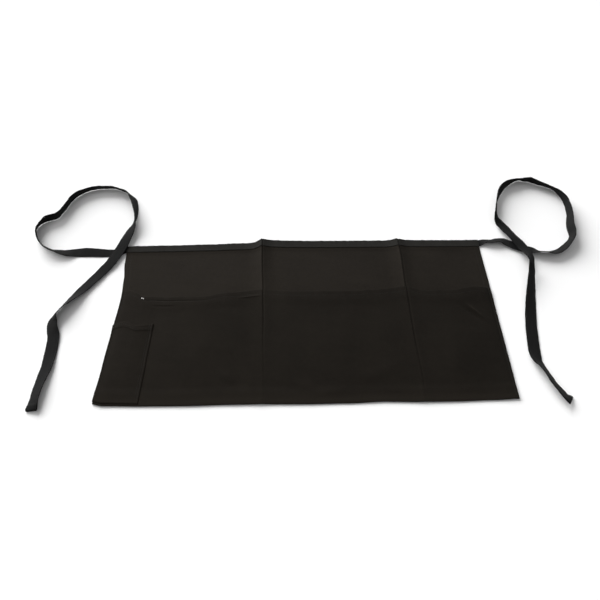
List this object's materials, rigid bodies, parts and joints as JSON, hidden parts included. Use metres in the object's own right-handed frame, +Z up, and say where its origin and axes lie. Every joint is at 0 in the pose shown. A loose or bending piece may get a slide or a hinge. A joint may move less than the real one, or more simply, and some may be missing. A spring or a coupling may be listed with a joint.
{
  "type": "waist apron",
  "caption": "Short cloth waist apron laid flat, with a full-width pouch pocket, a narrow pencil pocket at one end and a long loose tape tie at each end of its band.",
  "frame": {"origin": "on the surface that the apron lies on, under the middle of its cloth", "axes": "+X along the apron's width, away from the pencil pocket; +Y from the bottom hem to the waistband; +Z up, out of the front of the cloth"},
  "size_m": [0.9721, 0.476, 0.0226],
  "materials": {
    "twill": "matte near-black cotton blend twill, slightly warm",
    "tape": "matte near-black woven tape, neutral"
  },
  "bodies": {
    "root": {"skirt_panel": "twill", "pocket_front": "twill", "pencil_pocket": "twill", "waistband": "tape", "tie_left": "tape", "tie_right": "tape"}
  },
  "joints": []
}
